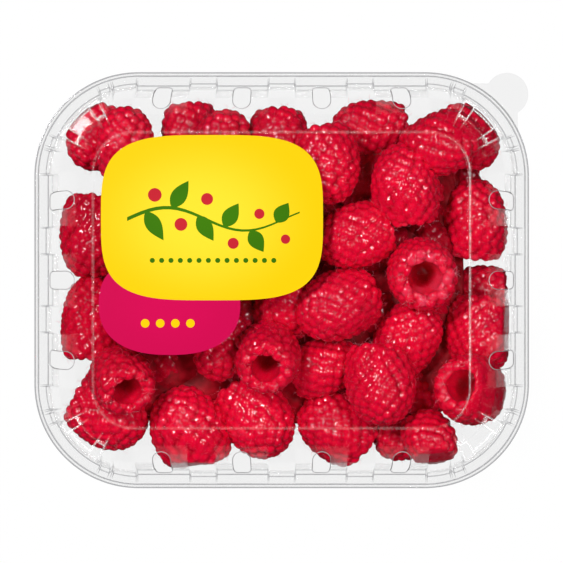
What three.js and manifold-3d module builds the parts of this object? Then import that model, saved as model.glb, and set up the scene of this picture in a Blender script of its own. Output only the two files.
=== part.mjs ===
// A rigid clear punnet of raspberries, in millimetres, +Z up.
// The thin dome stands on its flange, a film sealed under the flange closes it, a printed label lies on the
// flat panel at the top, and the berries lie loose inside, on the film.
// The origin is the middle of the film's underside.

import * as THREE from "three";
import { mergeVertices } from "three/addons/utils/BufferGeometryUtils.js";
import Module from "manifold-3d";

const wasm = await Module();
wasm.setup();

// Driving dimensions of the dome.
const FLANGE_LENGTH = 143;
const FLANGE_WIDTH = 120.3;
const FLANGE_CORNER = 30.1;
const SHEET = 0.5;

// Half of the dome's section at mid-sheet, from the skirt at the flange's edge, over the flange, the small
// step at the wall's foot, the curved wall and the shoulder, to the rim of the panel.
// Each row is [distance in from the flange's edge, height].
const SECTION = [
  [0.25, 2.2],
  [0.6, 0.6],
  [3.6, 0.6],
  [3.9, 2.4],
  [5.1, 2.9],
  [6.5, 12],
  [8.4, 20.5],
  [11.2, 26.6],
  [12.7, 28.4],
  [15.4, 31],
  [18.5, 32.7],
  [19.2, 34.75],
];

const WALL_FOOT_ROW = 4;

// Relief of the wall: how far each kind stands out of it at the section's rows.
const RELIEF = {
  flute: [0, 0, 0, 0, 0.7, 1.5, 2.1, 2.3, 1.2, 0, 0, 0],
  bump: [0, 0, 0, 0, 1.1, 1.2, 1.2, 0.9, 0.4, 0, 0, 0],
  block: [0, 0, 0, 0, 0.2, 1.1, 2.3, 4.1, 0.9, 0, 0, 0],
};

const PITCH = 22.6;
const FLUTE_WIDTH = 7.3;
const FLUTE_SLOPE = 0.6;

// A corner's relief, from one side's end to its diagonal: [angle in degrees, kind, share of its height].
const HALF_CORNER = [
  [0.3, "flute", 0],
  [1.7, "flute", 1],
  [15.6, "flute", 1],
  [17, "flute", 0],
  [19, "bump", 1],
  [24, "bump", 1],
  [26.4, "block", 0],
  [29, "block", 1],
  [39.7, "block", 1],
];

const VENT_WIDTH = 5.1;
const VENT_FOOT = 4.9;
const VENT_END = 13.2;
const VENT_BOTTOM = 3.35;
const VENT_TOP = 33;
const VENT_END_STEPS = 6;

// Film, label and the space between touching pieces.
const FILM = 0.25;
const FILM_MARGIN = 0.35;
const TAB_RADIUS = 6.2;
const TAB_EDGE = 0.1;
const TAB_DEPTH = 12.6;
const TAB_ROOT = 11.2;
const FILM_CORNER_STEPS = 9;
const LABEL = 0.15;
const LABEL_GAP = 0.03;
const LABEL_FIELD = { x: -19.4, y: 17.4, length: 61.8, width: 46, power: 3.6, steps: 36 };
const LABEL_ROUND = { x: -31.2, y: -6.6, length: 39.4, width: 28.4, power: 2.4, steps: 24 };

// The berries lie between these heights. PACKING is how close two of them come, as a share of touching.
const BERRY_FLOOR = 0.6;
const BERRY_CEILING = 33.7;
const BERRY_SIDES = 7;
const PACKING = 0.8;
const CLEARANCE = 0.35;
const CORE = { x: 0, y: 0, length: 100, width: 78, power: 8, steps: 16, bottom: 4, height: 9 };

// A berry's outline, as shares of its length from the base and of half its width, and the hollow in it.
const GIRTH = [
  [0, 0.74],
  [0.16, 1.02],
  [0.58, 1.04],
  [0.91, 0.6],
];
const DIMPLE_DEPTH = 0.04;
const HOLLOW = { depth: 0.45, shoulder: 0.3, radius: 0.34 };

// Each berry: [x, y, width, length, heading of its tip, rise of its tip, open], in the order they lie, the
// lowest first. Angles are in degrees, and a berry with a falling tip may turn its open end up.
const BERRIES = [
  [41.5, -2, 16, 19, 110, 0],
  [40, 22.5, 16, 19, 80, 5],
  [24, 28.5, 17, 20, 40, 0],
  [30, 9.5, 17, 20, 10, 0],
  [25.5, -7, 16, 18, 130, 0],
  [6, 9.5, 17, 20, 320, 0],
  [-12, -8.6, 17, 20, 150, 0],
  [12.4, -24.3, 17, 20, 20, 5],
  [-32.5, -23.6, 14, 18, 80, 10],
  [-37.5, 25, 18, 20, 30, 0],
  [-17.5, 24.5, 18, 20, 140, 0],
  [-38.5, 4.5, 17, 19, 310, 0],
  [-20, 7, 17, 19, 20, 4],
  [1, 25.5, 17, 19, 250, 0],
  [-54, 38.7, 17.5, 20, 255, 10],
  [55.3, 39.6, 17, 20, 290, 5],
  [57.2, 1.2, 15, 17, 180, 0],
  [31.5, -45.4, 15.5, 18, 200, 10],
  [38, -31.6, 14, 17, 120, 5],
  [-50, -38.6, 19, 24, 325, 5],
  [-54.3, 13.5, 19.5, 24.3, 265, 5],
  [-54.3, -11.4, 18, 24.5, 86, 0],
  [54.3, 17.8, 20.2, 23, 86, 8],
  [55.8, -13.5, 19.3, 21.5, 265, 6],
  [-26.8, -41.1, 21, 24, 262, 8],
  [-6.5, -39.4, 21, 24, 305, 12],
  [14.7, -42, 19.6, 22, 300, 18],
  [-1.1, 40.4, 18.6, 21.5, 90, 10],
  [-26.8, 41.6, 17.5, 21, 95, 14],
  [-44, 40.4, 16.5, 21, 85, 10],
  [25.5, 44, 17.5, 22.5, 186, 8],
  [47.1, 40.6, 18.6, 22, 25, 20],
  [42.4, -45.2, 15.6, 17.5, 300, 50],
  [52.7, -31.1, 20, 23, 342, -46, true],
  [-16.9, 40, 15.5, 19, 60, 30],
  [-36, -9.5, 17.5, 20, 100, 8],
  [-17, -19.8, 16.5, 19.5, 250, 24],
  [0.7, -5.6, 17.5, 21, 84, 14],
  [36.5, -15.6, 19.5, 22, 60, 10],
  [-27, 18, 18.5, 21.5, 200, 24],
  [-7, 16, 18.5, 21.5, 300, 18],
  [-23, -3, 18.5, 21, 40, 16],
  [12.8, 32.2, 19.5, 22, 278, 14],
  [34.8, 27.4, 20.2, 23.4, 98, 12],
  [20.1, 12.5, 19.4, 22.6, 195, 12],
  [39.1, 2, 20.4, 21.5, 135, -64, true],
  [-3.6, -20.8, 19.6, 22, 78, -54, true],
  [-45.4, -27.3, 18.6, 21.5, 125, -46, true],
  [15.1, -7.3, 21, 23.4, 200, 26],
  [27.8, -29.9, 20.4, 23.2, 275, 12],
];

const FINISH = {
  clear_dome: { color: "#eef0f2", roughness: 0.08, opacity: 0.25 },
  sealing_film: { color: "#f0f0f0", roughness: 0.2, opacity: 0.35 },
  printed_label: { color: "#fbd60a", roughness: 0.45, opacity: 1 },
  berry_heap: { color: "#c80824", roughness: 0.4, opacity: 1 },
};

// Points closer than this are one, and a mitre is never longer than the thickness over MITRE_LIMIT.
const MERGE_DISTANCE = 1e-4;
const MITRE_LIMIT = 0.5;

const radians = THREE.MathUtils.degToRad;

// A closed mesh as a solid that can be cut and joined.
function toSolid(geometry) {
  const bare = geometry.clone();
  bare.deleteAttribute("normal");
  bare.deleteAttribute("uv");
  const merged = mergeVertices(bare, MERGE_DISTANCE);
  const vertProperties = Float32Array.from(merged.attributes.position.array);
  const triVerts = Uint32Array.from(merged.index.array);
  return new wasm.Manifold(new wasm.Mesh({ numProp: 3, vertProperties, triVerts }));
}

function toGeometry(solid) {
  const mesh = solid.getMesh();
  const geometry = new THREE.BufferGeometry();
  geometry.setAttribute("position", new THREE.BufferAttribute(mesh.vertProperties, 3));
  geometry.setIndex(new THREE.BufferAttribute(mesh.triVerts, 1));
  geometry.computeVertexNormals();
  return geometry;
}

function toMesh(name, solid) {
  const finish = FINISH[name];
  const material = new THREE.MeshStandardMaterial({
    ...finish,
    metalness: 0,
    transparent: finish.opacity < 1,
  });
  const mesh = new THREE.Mesh(toGeometry(solid), material);
  mesh.name = name;
  return mesh;
}

// Stations round the flange's outline, anticlockwise from the middle of the +X side's lower end. Each has a
// point on the flange's edge, the outward direction there, and the relief that the wall has there.
function stations() {
  const list = [];
  const halfX = FLANGE_LENGTH / 2;
  const halfY = FLANGE_WIDTH / 2;
  const corner = [...HALF_CORNER];
  for (const [angle, kind, share] of [...HALF_CORNER].reverse()) {
    corner.push([90 - angle, kind, share]);
  }
  const sides = [
    { half: halfY, fluteCount: 2 },
    { half: halfX, fluteCount: 3 },
    { half: halfY, fluteCount: 2 },
    { half: halfX, fluteCount: 3 },
  ];
  sides.forEach(({ half, fluteCount }, side) => {
    const turn = radians(90 * side);
    const reach = side % 2 ? halfY : halfX;
    const straight = half - FLANGE_CORNER;
    for (let i = 0; i < fluteCount; i++) {
      const middle = (i - (fluteCount - 1) / 2) * PITCH;
      const edge = FLUTE_WIDTH / 2;
      const places = [
        [middle - edge - FLUTE_SLOPE, 0],
        [middle - edge, 1],
        [middle + edge, 1],
        [middle + edge + FLUTE_SLOPE, 0],
      ];
      for (const [along, share] of places) {
        const point = new THREE.Vector2(reach, along);
        const out = new THREE.Vector2(1, 0);
        point.rotateAround(new THREE.Vector2(), turn);
        out.rotateAround(new THREE.Vector2(), turn);
        list.push({ point, out, kind: "flute", share });
      }
    }
    const centre = new THREE.Vector2(reach - FLANGE_CORNER, straight);
    for (const [angle, kind, share] of corner) {
      const out = new THREE.Vector2(1, 0).rotateAround(new THREE.Vector2(), radians(angle));
      const point = out.clone().multiplyScalar(FLANGE_CORNER).add(centre);
      point.rotateAround(new THREE.Vector2(), turn);
      out.rotateAround(new THREE.Vector2(), turn);
      list.push({ point, out, kind, share });
    }
  });
  return list;
}

// The section moved along its own normal: outward for a positive distance, inward for a negative one.
function offsetSection(distance) {
  return SECTION.map(([inset, height], row) => {
    const before = SECTION[Math.max(row - 1, 0)];
    const after = SECTION[Math.min(row + 1, SECTION.length - 1)];
    const into = new THREE.Vector2(inset - before[0], height - before[1]);
    const onward = new THREE.Vector2(after[0] - inset, after[1] - height);
    if (into.lengthSq() === 0) into.copy(onward);
    if (onward.lengthSq() === 0) onward.set(1, 0);
    const first = new THREE.Vector2(-into.y, into.x).normalize();
    const second = new THREE.Vector2(-onward.y, onward.x).normalize();
    const normal = first.clone().add(second).normalize();
    const stretch = distance / Math.max(normal.dot(first), MITRE_LIMIT);
    return [inset + normal.x * stretch, height + normal.y * stretch];
  });
}

// Rings of points round the pack, one for each row of a section.
function rings(section, withRelief) {
  const round = stations();
  return section.map(([inset, height], row) =>
    round.map(({ point, out, kind, share }) => {
      const proud = withRelief ? RELIEF[kind][row] * share : 0;
      const place = point.clone().addScaledVector(out, proud - inset);
      return new THREE.Vector3(place.x, place.y, height);
    }),
  );
}

// A closed skin over rings that follow each other, with a flat end over the first and the last ring, or none
// where the last ring meets the first.
function skin(loops, capped) {
  const count = loops[0].length;
  const positions = loops.flat().flatMap((p) => [p.x, p.y, p.z]);
  const index = [];
  const bands = capped ? loops.length - 1 : loops.length;
  for (let row = 0; row < bands; row++) {
    const next = (row + 1) % loops.length;
    for (let i = 0; i < count; i++) {
      const j = (i + 1) % count;
      index.push(row * count + i, row * count + j, next * count + j);
      index.push(row * count + i, next * count + j, next * count + i);
    }
  }
  if (capped) {
    const first = positions.length / 3;
    const last = first + 1;
    const top = loops.length - 1;
    positions.push(0, 0, loops[0][0].z, 0, 0, loops[top][0].z);
    for (let i = 0; i < count; i++) {
      const j = (i + 1) % count;
      index.push(first, j, i);
      index.push(last, top * count + i, top * count + j);
    }
  }
  const geometry = new THREE.BufferGeometry();
  geometry.setAttribute("position", new THREE.Float32BufferAttribute(positions, 3));
  geometry.setIndex(index);
  return geometry;
}

// One vent's cutter: straight at the wall's foot and round at the shoulder, punched straight down.
function ventCutter(side, along) {
  const reach = side % 2 ? FLANGE_WIDTH / 2 : FLANGE_LENGTH / 2;
  const half = VENT_WIDTH / 2;
  const outline = new THREE.Shape();
  outline.moveTo(reach - VENT_FOOT, along - half);
  outline.lineTo(reach - VENT_FOOT, along + half);
  outline.lineTo(reach - VENT_END + half, along + half);
  outline.absarc(reach - VENT_END + half, along, half, Math.PI / 2, (Math.PI * 3) / 2, false);
  const cutter = new THREE.ExtrudeGeometry(outline, {
    depth: VENT_TOP - VENT_BOTTOM,
    bevelEnabled: false,
    curveSegments: VENT_END_STEPS,
  });
  cutter.translate(0, 0, VENT_BOTTOM);
  cutter.rotateZ(radians(90 * side));
  return toSolid(cutter);
}

// The dome: its outer skin less its inner one, with the vents cut through the wall between the flutes.
function clearDome() {
  const outer = rings(offsetSection(SHEET / 2), true);
  const inner = rings(offsetSection(-SHEET / 2), true);
  const top = outer[outer.length - 1];
  const under = inner[inner.length - 1];
  const middleTop = top.map(() => new THREE.Vector3(0, 0, top[0].z));
  const middleUnder = under.map(() => new THREE.Vector3(0, 0, under[0].z));
  const loops = [...outer, middleTop, middleUnder, ...inner.reverse()];
  let solid = toSolid(skin(loops, false));
  for (let side = 0; side < 4; side++) {
    const places = side % 2 ? [-1.5, -0.5, 0.5, 1.5] : [-1, 0, 1];
    for (const place of places) {
      solid = solid.subtract(ventCutter(side, place * PITCH));
    }
  }
  return toMesh("clear_dome", solid);
}

// An outline rounded by a power between an ellipse's and a rectangle's.
function fieldPoints({ x, y, length, width, power, steps }) {
  const points = [];
  for (let i = 0; i < steps; i++) {
    const angle = (i / steps) * Math.PI * 2;
    const c = Math.cos(angle);
    const s = Math.sin(angle);
    const px = Math.sign(c) * Math.abs(c) ** (2 / power);
    const py = Math.sign(s) * Math.abs(s) ** (2 / power);
    points.push(new THREE.Vector2(x + (px * length) / 2, y + (py * width) / 2));
  }
  return points;
}

function sheetOf(shape, bottom, thickness) {
  const sheet = new THREE.ExtrudeGeometry(shape, {
    depth: thickness,
    bevelEnabled: false,
    curveSegments: FILM_CORNER_STEPS,
  });
  sheet.translate(0, 0, bottom);
  return toSolid(sheet);
}

// The film closes the dome from below, cut to the flange, with a round tab at one corner to peel it by.
function sealingFilm() {
  const x = FLANGE_LENGTH / 2 - FILM_MARGIN;
  const y = FLANGE_WIDTH / 2 - FILM_MARGIN;
  const r = FLANGE_CORNER - FILM_MARGIN;
  const outline = new THREE.Shape();
  outline.absarc(x - r, y - r, r, 0, Math.PI / 2, false);
  outline.absarc(r - x, y - r, r, Math.PI / 2, Math.PI, false);
  outline.absarc(r - x, r - y, r, Math.PI, Math.PI * 1.5, false);
  outline.absarc(x - r, r - y, r, Math.PI * 1.5, Math.PI * 2, false);
  const end = new THREE.Vector2(FLANGE_LENGTH / 2, FLANGE_WIDTH / 2).subScalar(TAB_EDGE + TAB_RADIUS);
  const outward = new THREE.Vector2(1, 1).normalize();
  const across = new THREE.Vector2(-1, 1).normalize();
  const root = end.clone().addScaledVector(outward, -TAB_DEPTH);
  const tab = new THREE.Shape();
  tab.absarc(end.x, end.y, TAB_RADIUS, -Math.PI / 4, (Math.PI * 3) / 4, false);
  for (const side of [1, -1]) {
    const foot = root.clone().addScaledVector(across, (side * TAB_ROOT) / 2);
    tab.lineTo(foot.x, foot.y);
  }
  return toMesh("sealing_film", sheetOf(outline, 0, FILM).add(sheetOf(tab, 0, FILM)));
}

// The label: a large rounded field with a smaller round one below it, die cut as one piece.
function printedLabel() {
  const bottom = SECTION[SECTION.length - 1][1] + SHEET / 2 + LABEL_GAP;
  const field = new THREE.Shape(fieldPoints(LABEL_FIELD));
  const round = new THREE.Shape(fieldPoints(LABEL_ROUND));
  return toMesh("printed_label", sheetOf(field, bottom, LABEL).add(sheetOf(round, bottom, LABEL)));
}

// A berry is taken as two balls along its axis wherever it meets another.
function berryShape([x, y, width, length, heading, rise, open]) {
  const tip = new THREE.Vector3(
    Math.cos(radians(rise)) * Math.cos(radians(heading)),
    Math.cos(radians(rise)) * Math.sin(radians(heading)),
    Math.sin(radians(rise)),
  );
  const spread = (length - width) / 2;
  const radius = width / 2;
  const half = radius + spread * Math.abs(tip.z);
  return { x, y, width, length, open, tip, spread, radius, half };
}

// Drops each berry until it lies on the film or on the berries under it.
function settle() {
  const lying = [];
  for (const berry of BERRIES.map(berryShape)) {
    let z = BERRY_FLOOR + berry.half;
    for (const other of lying) {
      const reach = PACKING * (berry.radius + other.radius);
      for (const mine of [-1, 1]) {
        for (const its of [-1, 1]) {
          const a = berry.tip.clone().multiplyScalar(mine * berry.spread);
          const b = other.tip.clone().multiplyScalar(its * other.spread);
          const apart = (berry.x + a.x - other.x - b.x) ** 2 + (berry.y + a.y - other.y - b.y) ** 2;
          if (apart < reach ** 2) {
            z = Math.max(z, other.z + b.z - a.z + Math.sqrt(reach ** 2 - apart));
          }
        }
      }
    }
    berry.z = Math.min(z, BERRY_CEILING - berry.half);
    lying.push(berry);
  }
  return lying;
}

// A plump cone, flat at its base and round at its tip. Where its open end shows, the hollow left by the
// plucked core goes into it from the base.
function berrySolid({ x, y, z, width, length, open, tip }) {
  const inside = open
    ? [
        [HOLLOW.depth, 0],
        [HOLLOW.shoulder, HOLLOW.radius],
      ]
    : [[DIMPLE_DEPTH, 0]];
  const profile = [...inside, ...GIRTH, [1, 0]].map(
    ([along, share]) => new THREE.Vector2((share * width) / 2, (along - 0.5) * length),
  );
  const berry = new THREE.LatheGeometry(profile, BERRY_SIDES);
  const turn = new THREE.Quaternion().setFromUnitVectors(new THREE.Vector3(0, 1, 0), tip);
  berry.applyQuaternion(turn);
  berry.translate(x, y, z);
  return toSolid(berry);
}

// The berries as one heap out to its uneven outline, fused over a smaller core, inside the dome.
function berryHeap() {
  const core = sheetOf(new THREE.Shape(fieldPoints(CORE)), CORE.bottom, CORE.height);
  const walls = offsetSection(-SHEET / 2 - CLEARANCE).slice(WALL_FOOT_ROW);
  const floor = [walls[0][0], BERRY_FLOOR];
  const cavity = toSolid(skin(rings([floor, ...walls], false), true));
  const fused = wasm.Manifold.union([core, ...settle().map(berrySolid)]);
  const heap = fused.intersect(cavity);
  const outermost = heap.decompose().reduce((a, b) => (b.volume() > a.volume() ? b : a));
  return toMesh("berry_heap", outermost);
}

const punnet = new THREE.Group();
punnet.add(sealingFilm(), clearDome(), printedLabel(), berryHeap());

export default punnet;
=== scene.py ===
"""A rigid clear punnet of raspberries: a vented dome, the berries, the sealing film and the printed label.

Sizes are in millimetres, and each mesh is made in metres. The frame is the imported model's: +Z up, the origin
in the middle of the film's underside.
"""

import math
import random

import bmesh
import bpy
import numpy as np
from mathutils import Matrix, Vector
from mathutils.bvhtree import BVHTree
from mathutils.geometry import delaunay_2d_cdt


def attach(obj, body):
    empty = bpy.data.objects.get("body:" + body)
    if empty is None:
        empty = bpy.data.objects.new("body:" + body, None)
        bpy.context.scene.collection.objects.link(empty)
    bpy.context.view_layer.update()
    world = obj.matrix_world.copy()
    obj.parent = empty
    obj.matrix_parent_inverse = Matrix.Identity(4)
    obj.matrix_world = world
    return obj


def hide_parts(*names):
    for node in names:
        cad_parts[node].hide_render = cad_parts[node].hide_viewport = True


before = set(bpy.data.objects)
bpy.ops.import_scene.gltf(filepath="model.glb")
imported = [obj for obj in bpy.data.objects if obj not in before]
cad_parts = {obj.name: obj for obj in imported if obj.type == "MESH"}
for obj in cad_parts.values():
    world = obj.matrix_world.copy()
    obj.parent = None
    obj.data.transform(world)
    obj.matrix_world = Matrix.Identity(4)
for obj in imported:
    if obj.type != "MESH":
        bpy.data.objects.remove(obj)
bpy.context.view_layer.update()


# -------------------------------------------------------------------------------------------- clear dome
# The punnet's dome is one sheet of clear PET, drawn hot over a mould. Its flange, the small step at the
# wall's foot, the fluted wall with a stacking block at each corner and the rim of the flat panel are one thin
# skin. The vents are punched straight down through the wall, between the flutes.

MM = 0.001
FLANGE_LENGTH = 143
FLANGE_WIDTH = 120.3
FLANGE_CORNER = 30.1
DOME_SHEET = 0.3

# Half of the section at mid-sheet: distance in from the flange's edge, height, and how far a flute, a corner
# bump, a stacking block and the step on a block stand out of the wall there.
DOME_SECTION = [
    (0.22, 2.2, 0, 0, 0, 0),
    (0.32, 1.45, 0, 0, 0, 0),
    (1.1, 1.4, 0, 0, 0, 0),
    (1.22, 0.6, 0, 0, 0, 0),
    (3.95, 0.6, 0.6, 0.9, 0, 0),
    (4.1, 2.4, 0.65, 1, 0, 0),
    (5.4, 2.85, 0.9, 1.1, 0.2, 0),
    (6.5, 12, 1.5, 1.2, 1.1, 0),
    (8.4, 20.5, 2.1, 1.2, 2.3, 0),
    (11.2, 26.6, 2.3, 0.9, 4.1, 0),
    (12.7, 28.4, 1.2, 0.4, 0.9, 3.4),
    (13.5, 29.2, 0.8, 0.3, 1.1, 0.4),
    (15.4, 31, 0, 0, 0, 0),
    (18.5, 32.7, 0, 0, 0, 0),
    (19.1, 34.2, 0, 0, 0, 0),
    (19.7, 34.75, 0, 0, 0, 0),
    (21.5, 34.75, 0, 0, 0, 0),
]
WALL_FOOT = 6
BEND_SHARE = 0.4
BEND_REACH = 0.18
BEND_STEPS = 3

# How tightly the sheet turns, per millimetre, from where a fold's painted line starts to show to where it
# shows
# fully: the painted dark shade of folds fades out between two heights, and painted pale highlights show from
# there up, fully round the stacking blocks' tops.
DARK_BEND = (0.9, 3.2)
PALE_BEND = (0.2, 0.9)
DARK_FADE = (8, 17)
BLOCK_TOP = (24, 26)
BLOCK_BACK = (28.9, 29.6)
PANEL_STEP = (33.4, 34.4)
# The panel's step gets a painted pale highlight, much stronger on the side that faces +X, towards the right
# lamp.
STEP_PAINTED_GLINT = 0.12
LIT_STEP = 1.1
LIT_POWER = 4
SIDE_START = (2, 6)

FLUTE_PITCH = 22.6
FLUTE_WIDTH = 7.3
FLUTE_SLOPE = 0.35

# From a side's end to the corner's diagonal: angle in degrees, and shares of the flute, bump, block and step.
HALF_CORNER = [
    (0.3, 0, 0, 0, 0),
    (1.5, 1, 0, 0, 0),
    (15.6, 1, 0, 0, 0),
    (16.8, 0, 0, 0, 0),
    (18.4, 0, 1, 0, 0),
    (24.4, 0, 1, 0, 0),
    (25.6, 0, 0, 0, 0),
    (26.2, 0, 0, 0, 0),
    (27.2, 0, 0, 1, 0),
    (34.2, 0, 0, 1, 0),
    (35.2, 0, 0, 1, 1),
    (40, 0, 0, 1, 1),
]
SLOPE_STEPS = 4
SLOPE_GUARD = 0.15
GUARD_LIMIT = 0.3
FILL_STEP = 2.2

VENT_WIDTH = 5.1
VENT_FOOT = 4.6
VENT_FOOT_ROUND = 1.2
VENT_ENDS = (13.4, 12)
VENT_BOTTOM = 1.5
VENT_TOP = 33
VENT_ARC_STEPS = 6
VENT_RIM = 0.1
VENT_RIM_SIDES = 6
DOME_CREASE = 42
RIM_CREASE = 80
CUT_FACE = 1

# Between the two shares of turning edge-on, the sheet gets a painted white veil that stands for its
# reflection, and its gloss grows from the first share to the second as it turns away. The sheet is faintly
# rippled, and its punched edges are rough, with a painted pale glow.
SHEET_TINT = (0.998, 0.998, 0.998)
FOLD_PAINTED_SHADE = (0.6, 0.6, 0.61)
SHEET_ROUGHNESS = 0.05
EDGE_ON = (0.7, 0.88)
EDGE_ON_PAINTED_VEIL = 0.15
PAINTED_GLINT_SHARE = 0.38
PAINTED_VEIL_WHITE = (0.95, 0.95, 0.95, 1)
GLOSS_SHARE = (0.01, 0.35)
GLOSS_POWER = 5
RIPPLE = {"scale": 130, "strength": 0.25, "distance": 0.0003}
EDGE_GLOW_NOISE_SCALE = 900
PAINTED_EDGE_GLOW_GREYS = [(0, (0.5, 0.5, 0.52)), (1, (0.8, 0.8, 0.82))]


def new_mesh(name, points, faces, edges=()):
    """A mesh object from points in millimetres."""
    mesh = bpy.data.meshes.new(name)
    mesh.from_pydata((np.asarray(points, float) * MM).tolist(), edges, faces)
    mesh.update()
    piece = bpy.data.objects.new(name, mesh)
    bpy.context.scene.collection.objects.link(piece)
    return piece


def settle_modifiers(piece):
    """Leaves the evaluated shape as the piece's plain mesh."""
    bpy.context.view_layer.update()
    graph = bpy.context.evaluated_depsgraph_get()
    made = bpy.data.meshes.new_from_object(piece.evaluated_get(graph))
    piece.modifiers.clear()
    piece.data = made
    made.name = piece.name


def shade(piece, degrees):
    """Smooth shading, with an edge kept sharp where it turns by more than the angle."""
    piece.data.shade_smooth()
    piece.data.set_sharp_from_angle(angle=math.radians(degrees))


def on_circle(radius, degrees):
    """The point of a circle at an angle from +X."""
    angle = math.radians(degrees)
    return Vector((radius * math.cos(angle), radius * math.sin(angle)))


def prism(points, faces, outline, bottom, top):
    """Adds an upright prism over an outline to a mesh's points and faces."""
    first = len(points)
    count = len(outline)
    for height in (bottom, top):
        points.extend((x, y, height) for x, y in outline)
    faces.append(tuple(first + i for i in reversed(range(count))))
    faces.append(tuple(first + count + i for i in range(count)))
    for i in range(count):
        j = (i + 1) % count
        faces.append((first + i, first + j, first + count + j, first + count + i))


class Nodes:
    """Adds nodes to a tree: each has its settings, and a value, socket or node for each input."""

    def __init__(self, tree):
        self.tree = tree

    def wire(self, made, wires):
        """Sets a node's inputs. A node that is given for an input stands for its first open output."""
        for key, value in wires.items():
            if isinstance(value, bpy.types.Node):
                value = next(socket for socket in value.outputs if socket.enabled)
            if isinstance(value, bpy.types.NodeSocket):
                self.tree.links.new(value, made.inputs[key])
            else:
                made.inputs[key].default_value = value

    def add(self, kind, wires=None, **settings):
        made = self.tree.nodes.new(kind)
        for key, value in settings.items():
            setattr(made, key, value)
        self.wire(made, wires or {})
        return made

    def maths(self, operation, *values):
        return self.add("ShaderNodeMath", dict(enumerate(values)), operation=operation)

    def mark(self, name):
        """A named attribute of the mesh, for a material."""
        return self.add("ShaderNodeAttribute", attribute_name=name).outputs["Fac"]

    def noise(self, scale, detail=2):
        """A noise that stays where it is on the piece."""
        place = self.add("ShaderNodeTexCoord").outputs["Object"]
        made = self.add("ShaderNodeTexNoise", {"Vector": place, "Scale": scale, "Detail": detail})
        return made.outputs["Fac"]

    def bump(self, scale, strength, distance):
        """A normal for fine unevenness, its distance in metres."""
        height = self.noise(scale)
        return self.add("ShaderNodeBump", {"Height": height, "Strength": strength, "Distance": distance})

    def ranged(self, value, start, end, low=0, high=1, **settings):
        """A value's way from start to end as a way from low to high."""
        return self.add("ShaderNodeMapRange", {
            "Value": value, "From Min": start, "From Max": end, "To Min": low, "To Max": high,
        }, **settings)

    def ramp(self, value, stops, interpolation="LINEAR"):
        """Colours along a value, each stop with its place and its colour."""
        made = self.add("ShaderNodeValToRGB", {"Fac": value})
        made.color_ramp.interpolation = interpolation
        elements = made.color_ramp.elements
        for number, (place, colour) in ((0, stops[0]), (1, stops[-1])):
            elements[number].position = place
            elements[number].color = (*colour, 1)
        for place, colour in stops[1:-1]:
            elements.new(place).color = (*colour, 1)
        return made

    def mixed(self, share, a, b):
        """A colour between two colours."""
        return self.add("ShaderNodeMix", {"Factor": share, "A": a, "B": b}, data_type="RGBA")

    def surface(self, wires):
        """Sets the inputs of the material's main shader."""
        self.wire(self.tree.nodes["Principled BSDF"], wires)


def new_material(name):
    """A material and its nodes."""
    material = bpy.data.materials.new(name)
    material.use_nodes = True
    return material, Nodes(material.node_tree)


def new_tree(name, kinds):
    """A tree that changes a geometry: the tree, its nodes, its given values and the inputs' identifiers."""
    tree = bpy.data.node_groups.new(name, "GeometryNodeTree")
    names = {}
    for key, kind in {"Geometry": "Geometry", **kinds}.items():
        socket = tree.interface.new_socket(key, in_out="INPUT", socket_type="NodeSocket" + kind)
        names[key] = socket.identifier
    tree.interface.new_socket("Geometry", in_out="OUTPUT", socket_type="NodeSocketGeometry")
    nodes = Nodes(tree)
    return tree, nodes, nodes.add("NodeGroupInput").outputs, names


def run_tree(piece, tree, names, values):
    """Runs a tree on a piece and leaves what it makes as the piece's mesh."""
    growth = piece.modifiers.new(tree.name, "NODES")
    growth.node_group = tree
    for key, value in values.items():
        growth[names[key]] = value
    settle_modifiers(piece)


def ease(share):
    share = np.clip(share, 0, 1)
    return share * share * (3 - 2 * share)


def bent_section():
    """The section's rows with each bend rounded."""
    rows = [np.array(row, float) for row in DOME_SECTION]
    made = [rows[0]]
    for before, here, after in zip(rows, rows[1:], rows[2:]):
        back, on = before - here, after - here
        reach_back = np.hypot(*back[:2])
        reach_on = np.hypot(*on[:2])
        cut = min(BEND_REACH, BEND_SHARE * reach_back, BEND_SHARE * reach_on)
        start = here + back * cut / reach_back
        end = here + on * cut / reach_on
        for step in range(BEND_STEPS + 1):
            t = step / BEND_STEPS
            made.append((1 - t) ** 2 * start + 2 * t * (1 - t) * here + t * t * end)
    made.append(rows[-1])
    return made


def marked_places(marks, scale):
    """Places between the marks, close together at and beside a change of the relief, each with its shares."""
    places = []
    for (a, *start), (b, *end) in zip(marks, marks[1:]):
        start, change = np.array(start), np.subtract(end, start)
        if change.any():
            stops = np.arange(SLOPE_STEPS) / SLOPE_STEPS
        else:
            guard = min(SLOPE_GUARD / scale / (b - a), GUARD_LIMIT)
            steps = math.ceil((b - a) * scale / FILL_STEP)
            stops = np.concatenate([[0, guard], np.arange(1, steps) / steps, [1 - guard]])
        for t in stops:
            places.append((a + (b - a) * t, start + change * ease(t)))
    return places


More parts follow.
